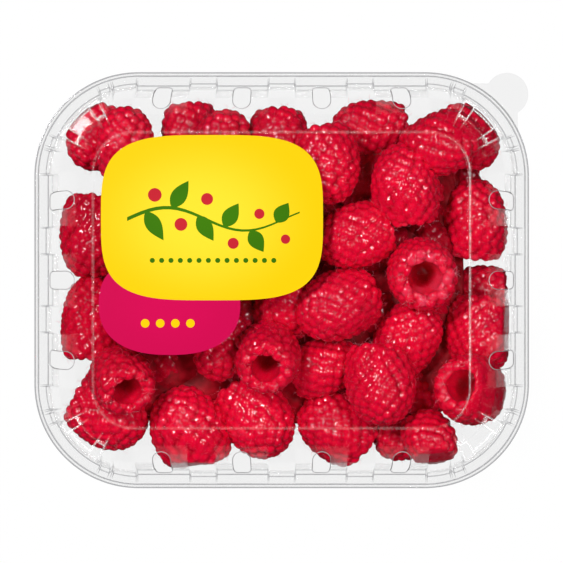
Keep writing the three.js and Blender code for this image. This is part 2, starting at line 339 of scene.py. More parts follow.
def dome_stations():
    """Round the flange's edge: a point, the outward direction there, and the relief's four shares."""
    stations = []
    plain = (0, 0, 0, 0)
    fluted = (1, 0, 0, 0)
    for side in range(4):
        reach, half = (FLANGE_LENGTH / 2, FLANGE_WIDTH / 2)[:: -1 if side % 2 else 1]
        straight = half - FLANGE_CORNER
        flutes = 3 if side % 2 else 2
        marks = [(-straight, *plain)]
        for number in range(flutes):
            middle = (number - (flutes - 1) / 2) * FLUTE_PITCH
            edge = FLUTE_WIDTH / 2
            marks.append((middle - edge - FLUTE_SLOPE, *plain))
            marks.append((middle - edge, *fluted))
            marks.append((middle + edge, *fluted))
            marks.append((middle + edge + FLUTE_SLOPE, *plain))
        marks.append((straight, *plain))
        turn = Matrix.Rotation(math.radians(90 * side), 2)
        for along, shares in marked_places(marks, 1):
            stations.append((turn @ Vector((reach, along)), turn @ Vector((1, 0)), shares))
        mirrored = [(90 - angle, *shares) for angle, *shares in reversed(HALF_CORNER)]
        corner = [(0, *plain)] + HALF_CORNER + mirrored + [(90, *plain)]
        centre = Vector((reach - FLANGE_CORNER, straight))
        for angle, shares in marked_places(corner, math.radians(FLANGE_CORNER)):
            out = on_circle(1, angle)
            stations.append((turn @ (centre + out * FLANGE_CORNER), turn @ out, shares))
    return stations


def rise_through(value, limits):
    low, high = limits
    return ease((value - low) / (high - low))


def turning(before, here, after):
    """How tightly lines of points turn at each point, per millimetre."""
    back, on = before - here, after - here
    reach_back = np.linalg.norm(back, axis=-1)
    reach_on = np.linalg.norm(on, axis=-1)
    turn = math.pi - np.arccos(np.clip((back * on).sum(-1) / reach_back / reach_on, -1, 1))
    return 2 * turn / (reach_back + reach_on)


def sheet_marks(points, stations):
    """For each ring and station: how dark the painted shade of a fold is, how bright its painted highlight is,
    and whether it is on the relief's side.
    """
    bend = turning(np.roll(points, 1, 1), points, np.roll(points, -1, 1))
    bend[1:-1] = np.maximum(bend[1:-1], turning(points[:-2], points[1:-1], points[2:]))
    shares = np.array([station[2] for station in stations])
    height = points[..., 2]
    on_block = shares[:, 2] > 0
    on_block = on_block | np.roll(on_block, 1) | np.roll(on_block, -1)
    # Painted shade: dark lines on the sheet's tight bends low down, for the shade that real folds show.
    dark = rise_through(bend, DARK_BEND) * (1 - rise_through(height, DARK_FADE))
    dark[0] = 1
    # Painted highlights: pale marks round the stacking blocks' tops and on the panel's step, strongest facing
    # the right lamp.
    pale = on_block * rise_through(height, BLOCK_TOP) * (1 - rise_through(height, BLOCK_BACK))
    lit = np.array([max(out.x, 0) ** LIT_POWER for _, out, _ in stations])
    low, high = PANEL_STEP
    pale += (STEP_PAINTED_GLINT + LIT_STEP * lit) * ((height > low) & (height < high))
    pale *= rise_through(bend, PALE_BEND)
    changing = np.abs(shares - np.roll(shares, 1, 0)).sum(1) > 0
    side = (changing | np.roll(changing, -1)) * rise_through(height, SIDE_START)
    return {"fold": dark, "glint": pale, "side": side}


def dome_surface(relieved=1):
    """The mid-sheet surface from the skirt to the panel: rings of points, the faces over them, and marks."""
    stations = dome_stations()
    points = []
    rows = bent_section()
    for inset, height, *relief in rows:
        for place, out, shares in stations:
            edge = place + out * (relieved * float(np.dot(relief, shares)) - inset)
            points.append((edge.x, edge.y, height))
    marks = sheet_marks(np.array(points).reshape(len(rows), len(stations), 3), stations)
    count = len(stations)
    faces = []
    for row in range(len(rows) - 1):
        for i in range(count):
            j = (i + 1) % count
            a, b = row * count, (row + 1) * count
            faces.append((a + i, a + j, b + j, b + i))
    faces.append(tuple((len(rows) - 1) * count + i for i in range(count)))
    return points, faces, marks


def vent_outline(foot, end):
    """A vent seen from above, on a side that faces +X: rounded corners at its foot and a round inner end."""
    half = VENT_WIDTH / 2
    foot_side = half - VENT_FOOT_ROUND
    outline = []
    for x, y, radius, start, sweep in (
        (foot - VENT_FOOT_ROUND, -foot_side, VENT_FOOT_ROUND, -90, 90),
        (foot - VENT_FOOT_ROUND, foot_side, VENT_FOOT_ROUND, 0, 90),
        (end + half, 0, half, 90, 180),
    ):
        steps = VENT_ARC_STEPS * sweep // 90
        for step in range(steps + 1):
            outline.append(Vector((x, y)) + on_circle(radius, start + sweep * step / steps))
    return outline


def vent_cutters():
    """One mesh of all the vents' punches."""
    points, faces = [], []
    for side in range(4):
        reach = FLANGE_WIDTH / 2 if side % 2 else FLANGE_LENGTH / 2
        turn = Matrix.Rotation(math.radians(90 * side), 2)
        for place in (-1.5, -0.5, 0.5, 1.5) if side % 2 else (-1, 0, 1):
            outline = vent_outline(reach - VENT_FOOT, reach - VENT_ENDS[side % 2])
            along = Vector((0, place * FLUTE_PITCH))
            prism(points, faces, [turn @ (spot + along) for spot in outline], VENT_BOTTOM, VENT_TOP)
    return new_mesh("vent_cutters", points, faces)


def clear_plastic(name, tint, fold_painted_shade, roughness):
    """Thin clear plastic: see-through and glossy, with a painted white veil for its reflection seen edge-on,
    painted dark shade along its folds and painted pale highlights on its bends.
    """
    material, nodes = new_material(name)
    material.node_tree.nodes.clear()
    facing = nodes.add("ShaderNodeLayerWeight", {"Blend": 0.5}).outputs["Facing"]
    broad = nodes.maths("SUBTRACT", 1, nodes.mark("side"))
    # Painted shade: the see-through tint darkens where the sheet folds.
    passed = nodes.mixed(nodes.mark("fold"), (*tint, 1), (*fold_painted_shade, 1))
    edge_on = nodes.ranged(facing, *EDGE_ON, high=EDGE_ON_PAINTED_VEIL, interpolation_type="SMOOTHSTEP")
    painted_wall_veil = nodes.maths("MULTIPLY", edge_on, broad)
    # Painted reflection veil where the sheet is seen edge-on, and painted pale highlights on its bends: white
    # mixed in.
    sheet = nodes.add("ShaderNodeMixShader", {
        "Fac": nodes.maths("MULTIPLY_ADD", nodes.mark("glint"), PAINTED_GLINT_SHARE, painted_wall_veil),
        1: nodes.add("ShaderNodeBsdfTransparent", {"Color": passed}),
        2: nodes.add("ShaderNodeBsdfDiffuse", {"Color": PAINTED_VEIL_WHITE}),
    })
    gloss = nodes.add("ShaderNodeBsdfGlossy", {
        "Color": (1, 1, 1, 1), "Roughness": roughness, "Normal": nodes.bump(**RIPPLE),
    })
    grazing = nodes.maths("MULTIPLY", nodes.maths("POWER", facing, GLOSS_POWER), broad)
    share = nodes.ranged(grazing, 0, 1, *GLOSS_SHARE)
    whole = nodes.add("ShaderNodeMixShader", {"Fac": share, 1: sheet, 2: gloss})
    nodes.add("ShaderNodeOutputMaterial", {"Surface": whole})
    return material


def cut_edge():
    """The sheet's punched edge: a painted pale glow, for the light that travels in the sheet and comes out
    there.
    """
    material, nodes = new_material("punched_edge")
    nodes.surface({
        "Base Color": nodes.ramp(nodes.noise(EDGE_GLOW_NOISE_SCALE), PAINTED_EDGE_GLOW_GREYS),
        "Roughness": 0.35,
        "Alpha": 0.6,
    })
    return material


def rim_tree():
    """Lays a round bead along loose edges."""
    tree, nodes, given, names = new_tree("vent_beads", {
        "Radius": "Float", "Sides": "Int", "Material": "Material",
    })
    bead = nodes.add("GeometryNodeCurveToMesh", {
        "Curve": nodes.add("GeometryNodeMeshToCurve", {"Mesh": given["Geometry"]}),
        "Profile Curve": nodes.add("GeometryNodeCurvePrimitiveCircle", {
            "Resolution": given["Sides"], "Radius": given["Radius"],
        }),
    })
    realized = nodes.add("GeometryNodeRealizeInstances", {"Geometry": bead})
    finish = nodes.add("GeometryNodeSetMaterial", {"Geometry": realized, "Material": given["Material"]})
    nodes.add("NodeGroupOutput", {"Geometry": finish})
    return tree, names


def punched_edges(sheet):
    """The edges between the sheet's faces and the cut faces of its vents, as points and pairs of them."""
    shape = bmesh.new()
    shape.from_mesh(sheet)
    places = {}
    pairs = []
    for edge in shape.edges:
        if len({face.material_index for face in edge.link_faces}) > 1:
            pairs.append([places.setdefault(tuple(vertex.co / MM), len(places)) for vertex in edge.verts])
    shape.free()
    return list(places), pairs


clear_pet = clear_plastic("clear_pet", SHEET_TINT, FOLD_PAINTED_SHADE, SHEET_ROUGHNESS)
dome_points, dome_faces, dome_marks = dome_surface()
dome = new_mesh("dome", dome_points, dome_faces)
for key, values in dome_marks.items():
    layer = dome.data.attributes.new(key, "FLOAT", "POINT")
    layer.data.foreach_set("value", values.astype(np.float32).ravel())
wall = dome.modifiers.new("sheet", "SOLIDIFY")
wall.thickness = DOME_SHEET * MM
wall.offset = 0
wall.use_even_offset = True
settle_modifiers(dome)
punched = cut_edge()
cutters = vent_cutters()
for piece in (dome, cutters):
    piece.data.materials.clear()
    piece.data.materials.append(clear_pet)
    piece.data.materials.append(punched)
cutters.data.polygons.foreach_set("material_index", [CUT_FACE] * len(cutters.data.polygons))
punch = dome.modifiers.new("vents", "BOOLEAN")
punch.operation = "DIFFERENCE"
punch.solver = "MANIFOLD"
punch.object = cutters
settle_modifiers(dome)
bpy.data.objects.remove(cutters)
shade(dome, DOME_CREASE)
dome.visible_shadow = False

rim_points, rim_pairs = punched_edges(dome.data)
rims = new_mesh("vent_rims", rim_points, [], rim_pairs)
run_tree(rims, *rim_tree(), {"Radius": VENT_RIM * MM, "Sides": VENT_RIM_SIDES, "Material": punched})
shade(rims, RIM_CREASE)
for piece in (dome, rims):
    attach(piece, "root")
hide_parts("clear_dome")


# ------------------------------------------------------------------------------------------- raspberries
# Fifty-eight ripe raspberries, most of them 14 to 22 mm wide, picked off their cores, so each is hollow from
# its base. They were tipped in loose: each lies on the film or on those under it, pressed a little flat where
# it touches another berry, the film or the clear wall. Every drupelet is a soft dome with a fine pale hair.

BERRY_FLOOR = 0.6
BERRY_CEILING = 33.7
PACKING = 0.8
FILM_TOP = 0.32
WALL_REACH = 5

# Each berry: x, y, width, length, heading of its tip and rise of its tip, in the order in which they settle,
# each on those before it.
BERRIES = [
    (12, -12, 15, 17, 0, 0),
    (-6, -24, 15, 17, 0, 0),
    (-26, -6, 14, 16, 90, 0),
    (-6, 4, 13, 14.5, 135, 0),
    (18, 16, 12, 13.5, 0, 0),
    (41.5, -2, 16, 19, 110, 0),
    (40, 22.5, 16, 19, 80, 5),
    (43.5, 10.3, 12, 14, 100, 0),
    (4.5, -31, 12, 14, 0, 0),
    (52.3, 31, 10, 12, 100, 0),
    (24, 28.5, 17, 20, 40, 0),
    (30, 9.5, 17, 20, 10, 0),
    (25.5, -7, 16, 18, 130, 0),
    (6, 9.5, 17, 20, 320, 0),
    (-12, -8.6, 17, 20, 150, 0),
    (12.4, -24.3, 17, 20, 20, 5),
    (-32.5, -23.6, 14, 18, 80, 10),
    (-37.5, 25, 18, 20, 30, 0),
    (-17.5, 24.5, 18, 20, 140, 0),
    (-38.5, 4.5, 17, 19, 310, 0),
    (-20, 7, 17, 19, 20, 4),
    (1, 25.5, 17, 19, 250, 0),
    (-53.3, 40.7, 17.5, 18.6, 255, 10),
    (53.6, 41.2, 17, 20, 290, 5),
    (56.1, -2.3, 13.5, 16.5, 180, 0),
    (34.8, -44.6, 15.5, 17.5, 200, 10),
    (38, -31.6, 14, 17, 120, 5),
    (-48.9, -38.3, 20.6, 23.4, 330, 5),
    (-54, 12.4, 19.5, 24, 265, 5),
    (-54.3, -10.6, 18.5, 24.5, 86, 0),
    (55.2, 17.9, 19.8, 22.7, 86, 8),
    (56.8, -15.5, 21.3, 22.5, 265, 6),
    (-26.8, -41.5, 22.6, 24.5, 112, 8),
    (-6.4, -39.8, 21, 24.2, 298, 12),
    (15.2, -41.3, 20.4, 22, 140, 15),
    (-1.1, 38.2, 18.6, 20.5, 270, 10),
    (-26.2, 40, 17.5, 21, 275, 14),
    (-44.3, 39.2, 16.5, 21, 85, 10),
    (24.9, 43.3, 16.8, 21.5, 186, 8),
    (45.9, 39.2, 18.6, 21.5, 25, 20),
    (42.4, -45.8, 16.2, 17.5, 300, 50),
    (54.6, -31.1, 20, 23, 342, -62),
    (-16.9, 40, 15.5, 19, 60, 30),
    (-17, -19.8, 16.5, 19.5, 250, 24),
    (0.7, -5.6, 17.5, 21, 84, 14),
    (36.5, -15.6, 19.5, 22, 60, 10),
    (-36, -9.5, 17.5, 20, 100, 8),
    (-27, 18, 18.5, 21.5, 200, 24),
    (-7, 16, 18.5, 21.5, 300, 18),
    (-23, -3, 18.5, 21, 40, 16),
    (12.8, 32.2, 19.5, 22, 278, 14),
    (34.8, 27.4, 20.2, 23.4, 98, 12),
    (20.1, 12.5, 19.4, 22.6, 195, 12),
    (39.1, 2, 20.4, 21.5, 120, -78),
    (-3.6, -20.8, 19.6, 22, 78, -66),
    (-45.4, -27.3, 18.6, 21.5, 125, -60),
    (15.1, -7.3, 21, 23.4, 200, 26),
    (27.8, -29.9, 20.4, 23.2, 275, 12),
]

# The berries in the order of the list, in pieces small enough to keep every face: name, the first berry, how
# often the skin is subdivided before its drupelets are raised, and how much darker the berries are painted, as
# painted shade deep in the heap.
BERRY_PIECES = [
    ("raspberries_low", 0, 1, 0.7),
    ("raspberries_deep", 15, 2, 0.3),
    ("raspberries_under", 16, 1, 0.7),
    ("raspberries_ends", 22, 2, 0),
    ("raspberries_sides", 30, 2, 0),
    ("raspberries_between", 38, 2, 0),
    ("raspberries_hidden", 46, 1, 0),
    ("raspberries_top", 50, 2, 0),
]

DRUPELET_PITCH = 2.75
DRUPELET_REACH = 1.85
DRUPELET_BULGE = 1.3
SKIN_CLEARANCE = 0.6 * DRUPELET_BULGE
DRUPELET_CLEARANCE = 0.05
HAIR_LENGTH = 1.7
HAIR_RADIUS_SHARE = 0.013
HAIR_LEAN = 0.7
HAIR_RANGE = (0.6, 1.3)
HAIR_SEED = 10
SKIN_HAIRS = 1
RIM_HAIRS = 9
GOLDEN_ANGLE = math.pi * (3 - math.sqrt(5))
SEAT_JITTER = 0.35
TURN_JITTER = 0.07
BODY_COLUMNS = 28
LUMP_HEIGHT = 0.4
LUMP_LENGTH = 7.5
BERRY_SEED = 995
PRESSING_STEPS = 12

# The body's outline as shares of half the width and of the length from the base: the belly's height, the rim
# where the drupelets turn in, the mouth of the hollow, and the hollow's steps to its blunt end.
BELLY = 0.42
RIM = 0.68
MOUTH = (0.31, 0.12)
HOLLOW = [(0.22, 0.3), (0.16, 0.5), (0.0, 0.56)]
TIP_POWERS = (0.85, 0.95)
TIP_STEPS, BASE_STEPS, LIP_STEPS = 10, 5, 4

# Tones run from dark to pale: how far a whole berry's and a drupelet's may vary, and how much paler a rim is.
BERRY_TONE = 0.45
DRUPELET_TONE = 0.35
RIM_TONE = 0.3
TONE_SHARE, CLOUD_SHARE = 0.6, 0.5
RIPENESS = [
    (0, (0.3, 0, 0.008)),
    (0.15, (0.58, 0.0005, 0.022)),
    (0.7, (0.84, 0.0015, 0.035)),
    (0.95, (0.86, 0.04, 0.1)),
]
CREASE_PAINTED_SHADE = (0.45, 0, 0.012, 1)
CREASE_REACH = (0.1, 0.6)
DOWN_AND_GLINT_PINK = (0.95, 0.2, 0.28, 1)
DOWN_REACH = (0.6, 0.75)
DOWN_SHARE = 0.2
HAIR_ROSE = [(0.35, (0.85, 0.04, 0.1)), (0.65, (0.98, 0.2, 0.28))]
RIM_HAIR_ROSE = (1, 0.36, 0.45, 1)
BED_SHADE_RED = [(0.35, (0.2, 0, 0.004)), (0.65, (0.45, 0.001, 0.014))]


def quarter(steps):
    """The angles of a quarter turn's steps."""
    return [step / steps * math.pi / 2 for step in range(1, steps + 1)]


def berry_outline():
    """From the tip over the belly and the rim into the hollow: (share of half width, share of length)."""
    across, along = TIP_POWERS
    tip = [
        (math.sin(t) ** across, BELLY + (1 - BELLY) * max(math.cos(t), 0) ** along)
        for t in quarter(TIP_STEPS)
    ]
    base = [(RIM + (1 - RIM) * math.cos(t), BELLY * (1 - math.sin(t))) for t in quarter(BASE_STEPS)]
    lip = [
        (RIM - (RIM - MOUTH[0]) * math.sin(t), MOUTH[1] * (1 - math.cos(t))) for t in quarter(LIP_STEPS)
    ]
    return np.array([(0, 1)] + tip + base + lip + HOLLOW), 1 + len(tip) + len(base)


class Berry:
    """One berry's place, its axes and the two balls on its axis that stand for it where it meets others."""

    def __init__(self, number, x, y, width, length, heading, rise):
        self.number = number
        self.width = width
        self.length = length
        flat = math.cos(math.radians(rise))
        self.tip = Vector((
            flat * math.cos(math.radians(heading)),
            flat * math.sin(math.radians(heading)),
            math.sin(math.radians(rise)),
        ))
        self.spread = (length - width) / 2
        self.radius = width / 2
        self.half = self.radius + self.spread * abs(self.tip.z)
        self.centre = Vector((x, y, BERRY_FLOOR + self.half))
        self.across = self.tip.orthogonal().normalized()
        self.up = self.tip.cross(self.across)
        self.random = random.Random(BERRY_SEED + number)
        self.waves = np.array([[self.random.uniform(-1, 1) for _ in range(3)] for _ in range(3)])
        self.phases = np.array([self.random.uniform(0, 2 * math.pi) for _ in range(3)])

    def settle_on(self, lying):
        """Raises the berry until it clears what lies under it."""
        height = self.centre.z
        for other in lying:
            reach = PACKING * (self.radius + other.radius)
            for mine in (-1, 1):
                for its in (-1, 1):
                    a = self.tip * (mine * self.spread)
                    b = other.tip * (its * other.spread)
                    apart = (self.centre.xy + a.xy - other.centre.xy - b.xy).length_squared
                    if apart < reach**2:
                        height = max(height, other.centre.z + b.z - a.z + math.sqrt(reach**2 - apart))
        self.centre.z = min(height, BERRY_CEILING - self.half)

    def depth(self, points):
        """How near each point is to the berry's axis, 1 on its skin and less inside, and its foot there."""
        middle = np.array(self.centre)
        axis = np.array(self.tip)
        along = np.clip((points - middle) @ axis, -self.spread, self.spread)
        foot = middle + along[:, None] * axis
        return np.linalg.norm(points - foot, axis=1) / self.radius, foot

    def placed(self, radius, along, turn, direction=False):
        """Points or directions given round the berry's axis, in the frame."""
        made = (
            np.outer(radius * np.cos(turn), self.across)
            + np.outer(radius * np.sin(turn), self.up)
            + np.outer(along, self.tip)
        )
        return made if direction else self.lumpy(made + np.array(self.centre))

    def lumpy(self, points):
        """A slow unevenness of the whole berry."""
        return points + LUMP_HEIGHT * np.sin(points @ self.waves.T * 2 / LUMP_LENGTH + self.phases)


def settled_berries():
    """All the berries, each let down on those before it."""
    lying = []
    for number, values in enumerate(BERRIES):
        berry = Berry(number, *values)
        berry.settle_on(lying)
        lying.append(berry)
    return lying


def pressed(points, berry, berries):
    """Points of a berry drawn in to the face that it shares with each berry it presses on."""
    for other in berries:
        if other is berry or (other.centre - berry.centre).length > (berry.length + other.length) / 2:
            continue
        own, foot = berry.depth(points)
        near, _ = other.depth(points)
        inside = (near < 1) & (near < own)
        if not inside.any():
            continue
        skin, heart = points[inside], foot[inside]
        low, high = np.zeros(len(skin)), np.ones(len(skin))
        for _ in range(PRESSING_STEPS):
            share = (low + high) / 2
            trial = skin + (heart - skin) * share[:, None]
            enough = other.depth(trial)[0] >= np.minimum(berry.depth(trial)[0], 1)
            high = np.where(enough, share, high)
            low = np.where(enough, low, share)
        points[inside] = skin + (heart - skin) * high[:, None]
    return points


plain_points, plain_faces, _ = dome_surface(relieved=0)
wall_tree = BVHTree.FromPolygons(plain_points, plain_faces)
wall_section = np.array(DOME_SECTION)[WALL_FOOT:, :2]
outline_shares, lip_start = berry_outline()


def kept_inside(points, clearance):
    """Points moved in where they would cross the film, the wall or the panel."""
    points[:, 2] = np.maximum(points[:, 2], FILM_TOP + clearance)
    over_x = np.abs(points[:, 0]) - (FLANGE_LENGTH / 2 - FLANGE_CORNER)
    over_y = np.abs(points[:, 1]) - (FLANGE_WIDTH / 2 - FLANGE_CORNER)
    corner = np.hypot(np.maximum(over_x, 0), np.maximum(over_y, 0))
    inset = FLANGE_CORNER - np.where(corner > 0, corner, np.maximum(over_x, over_y))
    wall_inset = np.interp(points[:, 2], wall_section[:, 1], wall_section[:, 0])
    limit = DOME_SHEET / 2 + clearance
    for index in np.flatnonzero(inset < wall_inset + WALL_REACH):
        spot, normal, _, _ = wall_tree.find_nearest(Vector(points[index]))
        proud = (Vector(points[index]) - spot).dot(normal)
        if proud > -limit:
            points[index] = spot - normal * limit
    points[:, 2] = np.minimum(points[:, 2], DOME_SECTION[-1][1] - limit)
    return points


def berry_seats(berry, every_berry, outline, normal, area):
    """The middles of a berry's drupelets, the way each faces, and how much of the skin lies before each."""
    ray = berry.random
    covered = area[lip_start + LIP_STEPS - 1]
    count = round(covered / (math.sqrt(3) / 2 * DRUPELET_PITCH**2))
    number = np.arange(count)
    jitter = np.array([ray.uniform(-SEAT_JITTER, SEAT_JITTER) for _ in number])
    spent = (number + 0.5 + jitter) / count * covered
    turn = number * GOLDEN_ANGLE + np.array([ray.uniform(-TURN_JITTER, TURN_JITTER) for _ in number])
    radius, height, out_r, out_h = (
        np.interp(spent, area, values) for values in (*outline.T, *normal.T)
    )
    seats = berry.placed(radius, height, turn)
    seats = kept_inside(pressed(seats, berry, every_berry), SKIN_CLEARANCE)
    return seats, berry.placed(out_r, out_h, turn, direction=True), spent


def berry_body(berry, every_berry, outline, first):
    """A berry's body in rings from the tip to the hollow's end: points, faces and each point's ring."""
    columns = np.arange(BODY_COLUMNS) / BODY_COLUMNS * 2 * math.pi
    rings = len(outline) - 2
    pole = np.zeros(1)
    body = [berry.placed(outline[:1, 0], outline[:1, 1], pole)]
    for row in outline[1:-1]:
        body.append(berry.placed(np.full(BODY_COLUMNS, row[0]), np.full(BODY_COLUMNS, row[1]), columns))
    body.append(berry.placed(outline[-1:, 0], outline[-1:, 1], pole))
    body = kept_inside(pressed(np.concatenate(body), berry, every_berry), SKIN_CLEARANCE)
    last = first + len(body) - 1
    end = last - BODY_COLUMNS
    faces = []
    for i in range(BODY_COLUMNS):
        j = (i + 1) % BODY_COLUMNS
        faces.append((first, first + 1 + i, first + 1 + j))
        for ring in range(rings - 1):
            a = first + 1 + ring * BODY_COLUMNS
            b = a + BODY_COLUMNS
            faces.append((a + i, b + i, b + j, a + j))
        faces.append((end + i, last, end + j))
    ring_of = np.concatenate([[0], np.repeat(np.arange(1, rings + 1), BODY_COLUMNS), [rings + 1]])
    return body, faces, ring_of


def berry_host(name, berries, every_berry, level, shade_darkening):
    """The bodies of some berries, and a loose point at the middle of each drupelet."""
    points, faces = [], []
    values = {"outward": [], "berry": [], "tone": [], "seat": [], "relief": [], "hairs": []}

    def add(spots, outward=(0, 0, 0), **marks):
        points.extend(spots)
        values["outward"].extend(np.broadcast_to(outward, (len(spots), 3)))
        for key in ("berry", "tone", "seat", "relief", "hairs"):
            values[key].extend(np.broadcast_to(marks.get(key, 0), len(spots)))

    for berry in berries:
        tone = berry.random.uniform(0, 1)
        outline = outline_shares * (berry.width / 2, berry.length) - (0, berry.length / 2)
        along = np.gradient(outline, axis=0)
        normal = np.stack([-along[:, 1], along[:, 0]], 1)
        normal /= np.linalg.norm(normal, axis=1)[:, None]
        normal[0] = (0, 1)
        outline = outline - normal * DRUPELET_BULGE
        outline[:, 0] = np.maximum(outline[:, 0], 0)
        outline[0, 0] = outline[-1, 0] = 0
        step = np.linalg.norm(np.diff(outline, axis=0), axis=1)
        area = np.concatenate([[0], np.cumsum(step * (outline[1:, 0] + outline[:-1, 0]) * math.pi)])

        seats, outward, spent = berry_seats(berry, every_berry, outline, normal, area)
        body, body_faces, ring_of = berry_body(berry, every_berry, outline, len(points))
        faces.extend(body_faces)
        in_hollow = ease((ring_of - lip_start - LIP_STEPS + 1) / 2)
        relief = 1 - ease((ring_of - lip_start - 0.5) / (LIP_STEPS - 2)) + in_hollow
        add(body, berry=berry.number, relief=relief)

        on_rim = spent > area[lip_start - 2]
        hairs = np.where(on_rim, RIM_HAIRS, SKIN_HAIRS) * (spent < area[lip_start]) * (level > 1)
        # Berries deep in the heap get painted shade: their tones are lowered.
        tones = [tone * BERRY_TONE + berry.random.uniform(0, DRUPELET_TONE) - shade_darkening for _ in seats]
        add(seats, outward, berry=berry.number, seat=1, tone=RIM_TONE * on_rim + tones, hairs=hairs)
    host = new_mesh(name, np.array(points), faces)
    for key, numbers in values.items():
        kind, field = ("FLOAT_VECTOR", "vector") if key == "outward" else ("FLOAT", "value")
        layer = host.data.attributes.new(key, kind, "POINT")
        layer.data.foreach_set(field, np.asarray(numbers, np.float32).ravel())
    return host


def drupelet_tree():
    """Raises a soft drupelet round every seat, and sets fine curved hairs on it, more of them on the rim."""
    tree, nodes, given, names = new_tree("drupelets", {
        "Level": "Int", "Bulge": "Float", "Reach": "Float", "Hair Length": "Float", "Hair Radius": "Float",
        "Seed": "Int", "Flesh": "Material", "Hair": "Material",
    })

    def stored(name, kind="FLOAT"):
        return nodes.add("GeometryNodeInputNamedAttribute", {"Name": name}, data_type=kind)

    def whole(name):
        return nodes.add("FunctionNodeFloatToInt", {"Float": stored(name)}, rounding_mode="ROUND")

    def store(geometry, name, value):
        return nodes.add("GeometryNodeStoreNamedAttribute", {
            "Geometry": geometry, "Name": name, "Value": value,
        }, data_type="FLOAT", domain="POINT")

    def painted(geometry, material):
        return nodes.add("GeometryNodeSetMaterial", {"Geometry": geometry, "Material": material})

    is_seat = nodes.add("FunctionNodeCompare", {0: stored("seat"), 1: 0.5}, operation="GREATER_THAN")
    parts = nodes.add("GeometryNodeSeparateGeometry", {
        "Geometry": given["Geometry"], "Selection": is_seat,
    }, domain="POINT").outputs
    seats = parts["Selection"]
    skin = nodes.add("GeometryNodeSubdivisionSurface", {
        "Mesh": parts["Inverted"], "Level": given["Level"],
    })

    # The drupelet's height falls from its seat as a parabola does, so that neighbours meet in a crease.
    berry = whole("berry")
    nearest = nodes.add("GeometryNodeProximity", {
        "Geometry": seats, "Group ID": berry, "Sample Group ID": berry,
    }, target_element="POINTS").outputs
    away = nodes.maths("MINIMUM", nodes.maths("DIVIDE", nearest["Distance"], given["Reach"]), 1)
    fall = nodes.maths("SUBTRACT", 1, nodes.maths("MULTIPLY", away, away))
    marked = store(skin, "crown", nodes.maths("MULTIPLY", fall, stored("relief")))
    index = nodes.add("GeometryNodeSampleNearest", {
        "Geometry": seats, "Sample Position": nearest["Position"],
    }, domain="POINT")
    seat_tone = nodes.add("GeometryNodeSampleIndex", {
        "Geometry": seats, "Value": stored("tone"), "Index": index,
    }, data_type="FLOAT", domain="POINT")
    lift = nodes.add("ShaderNodeVectorMath", {
        0: nodes.add("GeometryNodeInputNormal"),
        "Scale": nodes.maths("MULTIPLY", stored("crown"), given["Bulge"]),
    }, operation="SCALE")
    raised = nodes.add("GeometryNodeSetPosition", {
        "Geometry": store(marked, "tone", seat_tone), "Offset": lift,
    })

    # Each hair starts under the drupelet's skin and bends over.
    roots = nodes.add("GeometryNodeDuplicateElements", {
        "Geometry": seats, "Amount": whole("hairs"),
    }, domain="POINT")
    upright = nodes.add("FunctionNodeAlignRotationToVector", {
        "Factor": 1, "Vector": stored("outward", "FLOAT_VECTOR"),
    }, axis="Z")
    lean = nodes.add("FunctionNodeRandomValue", {
        "Min": (-HAIR_LEAN, -HAIR_LEAN, 0), "Max": (HAIR_LEAN, HAIR_LEAN, 2 * math.pi),
        "Seed": given["Seed"],
    }, data_type="FLOAT_VECTOR")
    turned = nodes.add("FunctionNodeRotateRotation", {
        "Rotation": upright, "Rotate By": nodes.add("FunctionNodeEulerToRotation", {"Euler": lean}),
    }, rotation_space="LOCAL")
    strand = nodes.add("GeometryNodeCurveToMesh", {
        "Curve": nodes.add("GeometryNodeCurveQuadraticBezier", {
            "Resolution": 3, "Start": (0, 0, 0.3), "Middle": (0.05, 0, 1), "End": (0.85, 0, 1),
        }),
        "Profile Curve": nodes.add("GeometryNodeCurvePrimitiveCircle", {
            "Resolution": 3, "Radius": given["Hair Radius"],
        }),
    })
    shortest, longest = HAIR_RANGE
    longer = nodes.add("FunctionNodeRandomValue", {"Min": shortest, "Max": longest, "Seed": given["Seed"]})
    strands = nodes.add("GeometryNodeInstanceOnPoints", {
        "Points": roots, "Instance": strand, "Rotation": turned,
        "Scale": nodes.maths("MULTIPLY", longer, given["Hair Length"]),
    })
    hairs = nodes.add("GeometryNodeRealizeInstances", {"Geometry": strands})
    joined = nodes.add("GeometryNodeJoinGeometry", {"Geometry": painted(hairs, given["Hair"])})
    nodes.wire(joined, {"Geometry": painted(raised, given["Flesh"])})
    smooth = nodes.add("GeometryNodeSetShadeSmooth", {"Geometry": joined})
    nodes.add("NodeGroupOutput", {"Geometry": smooth})
    return tree, names


